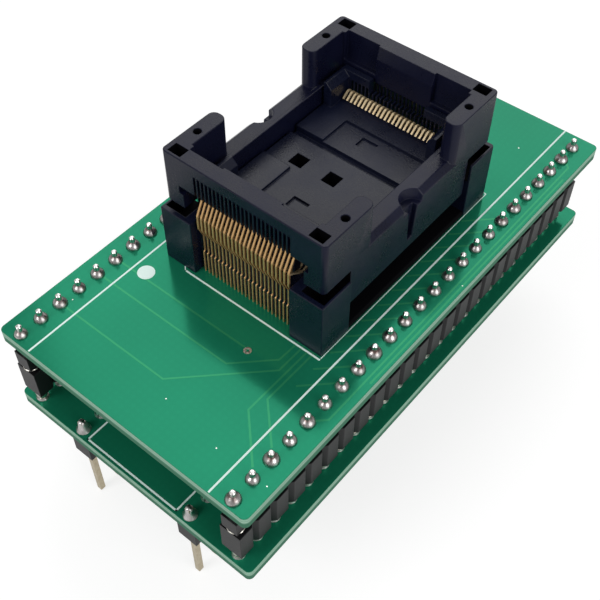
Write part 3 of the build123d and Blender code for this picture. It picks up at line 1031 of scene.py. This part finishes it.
# %% Contact springs and comb teeth
for name, end in ENDS:
    # Piece, points, body, slot, values and the node that it stands for
    banks = (
        ("contact_springs", SPRING, f"{name}_contacts", "contact_gold", SPRING_VALUES, "contact_arms"),
        ("contact_fingers", FINGER, f"{name}_contacts", "contact_gold", FINGER_VALUES, None),
        ("contact_feet", LEG, "socket_module", "contact_gold", LEG_VALUES, "contact_legs"),
        ("comb_teeth", TOOTH, "press_cover", "cover_plastic", TOOTH_VALUES, None),
    )
    for piece, points, body, slot, values, node in banks:
        path = [(0, SOCKET_Y + end * length * MM, BOARD_TOP + height * MM) for length, height in points]
        grown = grow(
            f"{piece}_{name}",
            line_mesh(f"{piece}_path", [path]),
            bank_tree,
            body,
            values,
            stands_for=(f"{node}_{name}",) if node else (),
            smooth_degrees=30,
        )
        print(grown.name, [round(x / MM, 2) for x in grown.dimensions])


# %% [markdown]
# Printed lines and the copper under the lacquer are thin ribbons on the board's face. A line of points goes
# in, a flat section is swept along it, and the result lies a hair above the board. The ink is white; the
# copper only lifts the green lacquer, so it takes a paler green.

# %% Geometry tree: flat ribbons
def make_ribbon_tree():
    tree, start, end = geometry_tree(
        "flat ribbons", [("Width", FLOAT), ("Height", FLOAT), ("Material", MATERIAL)]
    )
    curve = add_node(tree, "GeometryNodeMeshToCurve", {"Mesh": start.outputs["Geometry"]})
    swept = swept_section(tree, curve.outputs[0], start.outputs["Width"], start.outputs["Height"])
    finish_tree(tree, start, end, swept)
    return tree


ribbon_tree = make_ribbon_tree()
print("tree:", ribbon_tree.name, "with", len(ribbon_tree.nodes), "nodes")


# %% [markdown]
# A set of lines becomes one piece, whatever its colour, so one call grows it. The round marks beside the
# lines are turned shapes that are set down on the upper board.

# %% Helpers: ribbons and marks
def ribbons(name, lines, z, body, width, height, material):
    """Thin ribbons along lines of points, which are given in millimetres on the face at height z."""
    path = [[(x * MM, y * MM, z) for x, y in points] for points in lines]
    values = {"Width": width * MM, "Height": height * MM, "Material": material}
    return grow(name, line_mesh(f"{name}_path", path), ribbon_tree, body, values)


def mark(name, mesh, material, x, y):
    """Small flat shape on the upper board, placed in millimetres."""
    mesh.transform(Matrix.Translation((x * MM, y * MM, BOARD_TOP)))
    mesh.materials.append(material)
    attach(link(bpy.data.objects.new(name, mesh)), "socket_module")


print("ribbons() and mark() ready")


# %% [markdown]
# The printed frames show an assembler where the strips and the socket go. Each is a few straight lines,
# given in millimetres on the board's face. The ones round the socket are thinner, and a round dot marks pin
# 1.

# %% Printed lines
top_lines = [
    [(-11.85, -30.1), (-11.85, 31.3)],
    [(11.85, -30.1), (11.85, 31.3)],
    [(-7.3, -12.9), (10.45, -12.9)],
]
base_lines = [
    [(-6.3, -29.9), (-6.3, 31.0)],
    [(6.3, -29.9), (6.3, 31.0)],
    [(-6.4, -29.8), (6.4, -29.8)],
    [(-6.4, 31.0), (6.4, 31.0)],
]
socket_lines = [
    [(10.4, -12.7), (10.4, 16.5)],
    [(-10.4, 16.5), (10.4, 16.5)],
    [(-10.4, -9.9), (-10.4, 16.5)],
    [(-7.4, -12.9), (-10.4, -9.9)],
]
ribbons("printed_lines_top", top_lines, BOARD_TOP, "socket_module", 0.2, 0.03, white_ink)
ribbons("printed_lines_base", base_lines, base_high.z, "base_module", 0.2, 0.03, white_ink)
ribbons("printed_lines_thin", socket_lines, BOARD_TOP, "socket_module", 0.1, 0.02, white_ink)
dot = turned("pin_one_dot", [(0, 0.02), (0.93, 0.02), (0.95, -0.02), (0, -0.02)], 32)
mark("pin_one_dot", dot, white_ink, -10.3, -15.7)
print("printed lines:", len(top_lines) + len(base_lines) + len(socket_lines), "and a dot by pin 1")


# %% [markdown]
# Copper tracks run from the plug pins towards the socket. Under the lacquer, a track shows only as a paler
# line that stands up a little. A plated hole and six bare specks of metal lie between them, each turned
# like a pin.

# %% Copper under the lacquer
near_lines = [
    [(-13.3, -16.35), (4.1, -16.35)],
    [(-13.3, -18.95), (3.8, -18.95), (7.4, -15.35), (7.6, -10.5)],
    [(-13.3, -24.1), (0.4, -24.1), (8.2, -16.3), (8.2, -10.5)],
    [(13.2, -25.8), (8.9, -21.5), (8.9, -10.5)],
    [(13.2, -23.2), (9.5, -19.5), (9.5, -12.6)],
    [(14.1, -18.8), (15.3, -17.6), (15.3, 26.0), (14.1, 27.2)],
    [(15.8, -12.0), (15.8, 24.0)],
]
far_lines = [[(-13.2, y), (-9.0 + x, y)] for x, y in ((0.0, 19.2), (0.6, 21.75), (1.2, 24.3), (1.8, 26.8))]
pin_places = [ROW_START / MM + i * PITCH / MM for i in range(6, 18)]
side_lines = [[(13.3, y), (10.6, y - 2.7)] for y in pin_places]
copper_lines = near_lines + far_lines + side_lines
ribbons("copper_lines", copper_lines, BOARD_TOP, "socket_module", 0.22, 0.016, trace_mask)
ring = turned("plated_hole", [(0.16, -0.02), (0.42, -0.02), (0.42, 0.02), (0.16, 0.02), (0.16, -0.02)], 20)
mark("plated_hole", ring, pin_core, 4.35, -16.5)
speck = turned("speck_shape", [(0, 0.01), (0.07, 0.01), (0.09, -0.02), (0, -0.02)], 8)
SPECKS = ((2.2, -25.5), (9.4, -26.4), (9.2, 25.3), (15.4, -26.4), (-13.4, -23.0), (15.8, 3.7))
for i, (x, y) in enumerate(SPECKS):
    mark(f"small_via_{i + 1}", speck.copy(), pin_core, x, y)
print("copper lines:", len(copper_lines), "specks:", len(SPECKS))


# %% [markdown]
# The picture is taken from above the near right corner. The camera's place, aim and lens come from matching
# the pins' places, so the script only states them.

# %% Camera
camera_data = bpy.data.cameras.new("camera")
camera_data.sensor_width = 36.0
camera_data.lens = 58.913
camera_data.clip_start = 0.005
camera_data.clip_end = 5.0
camera = link(bpy.data.objects.new("camera", camera_data))
right = Vector((0.77055, 0.63736, 0.00515))
up = Vector((-0.49672, 0.59541, 0.63147))
back = Vector((0.39941, -0.48914, 0.77538))
turn = Matrix((right, up, back)).transposed().to_4x4()
camera.matrix_world = Matrix.Translation(Vector((43.795, -56.826, 100.255)) * MM) @ turn
bpy.context.scene.camera = camera
print("camera at", [round(x / MM, 1) for x in camera.location])


# %% [markdown]
# The floor and the world are white to the camera, but weaker in a reflection and in the light that they give,
# or the dark plastic would turn grey. A light path tells the tree which kind of ray asks.

# %% Floor and world
def seen_share(tree, glossy):
    """1 for what the camera or clear plastic sees, less for a reflection, and 0 for light on the part."""
    path = add_node(tree, "ShaderNodeLightPath")
    mirror = calc(tree, "MULTIPLY", path.outputs["Is Glossy Ray"], glossy)
    direct = calc(tree, "MAXIMUM", path.outputs["Is Camera Ray"], path.outputs["Is Transmission Ray"])
    return calc(tree, "MAXIMUM", direct, mirror)


WHITE = (1.0, 1.0, 1.0, 1.0)
floor_mesh = bpy.data.meshes.new("floor")
floor_mesh.from_pydata([(-2, -2, 0), (2, -2, 0), (2, 2, 0), (-2, 2, 0)], [], [(0, 1, 2, 3)])
floor = link(bpy.data.objects.new("floor", floor_mesh))
floor_paint, floor_tree, floor_shader = new_material("floor_paint")
floor_surface = {
    "Base Color": (0.35, 0.35, 0.35, 1.0),
    "Roughness": 0.9,
    "Specular IOR Level": 0.1,
    "Emission Color": WHITE,
    "Emission Strength": calc(floor_tree, "MULTIPLY", seen_share(floor_tree, 0.6), 0.74),
}
connect(floor_tree, floor_shader, floor_surface)
floor_mesh.materials.append(floor_paint)

world = bpy.data.worlds.new("studio")
world.use_nodes = True
bpy.context.scene.world = world
backdrop = world.node_tree.nodes["Background"]
seen = seen_share(world.node_tree, 0.15)
level = calc(world.node_tree, "MULTIPLY_ADD", seen, 0.62, 0.38)
connect(world.node_tree, backdrop, {"Color": WHITE, "Strength": level})
print("stage:", floor.name, world.name)


# %% [markdown]
# A lamp with a wide round face gives a soft shadow. The key lamp stands behind on the left. Weaker lamps in
# front and on the right open the shadows.

# %% Lamps
def area_lamp(name, place, aim, size, watts):
    data = bpy.data.lights.new(name, "AREA")
    data.shape = "DISK"
    data.size = size
    data.energy = watts
    lamp = link(bpy.data.objects.new(name, data))
    lamp.location = place
    lamp.rotation_euler = (Vector(aim) - Vector(place)).to_track_quat("-Z", "Y").to_euler()
    return lamp


middle_of_part = (0.0, 0.0, 0.02)
area_lamp("key_lamp", (-0.145, 0.25, 0.345), middle_of_part, 0.4, 0.68)
area_lamp("front_lamp", (-0.08, -0.3, 0.24), middle_of_part, 0.2, 0.48)
area_lamp("fill_lamp", (0.35, -0.05, 0.2), middle_of_part, 0.3, 0.6)
bpy.context.scene.view_settings.view_transform = "Standard"
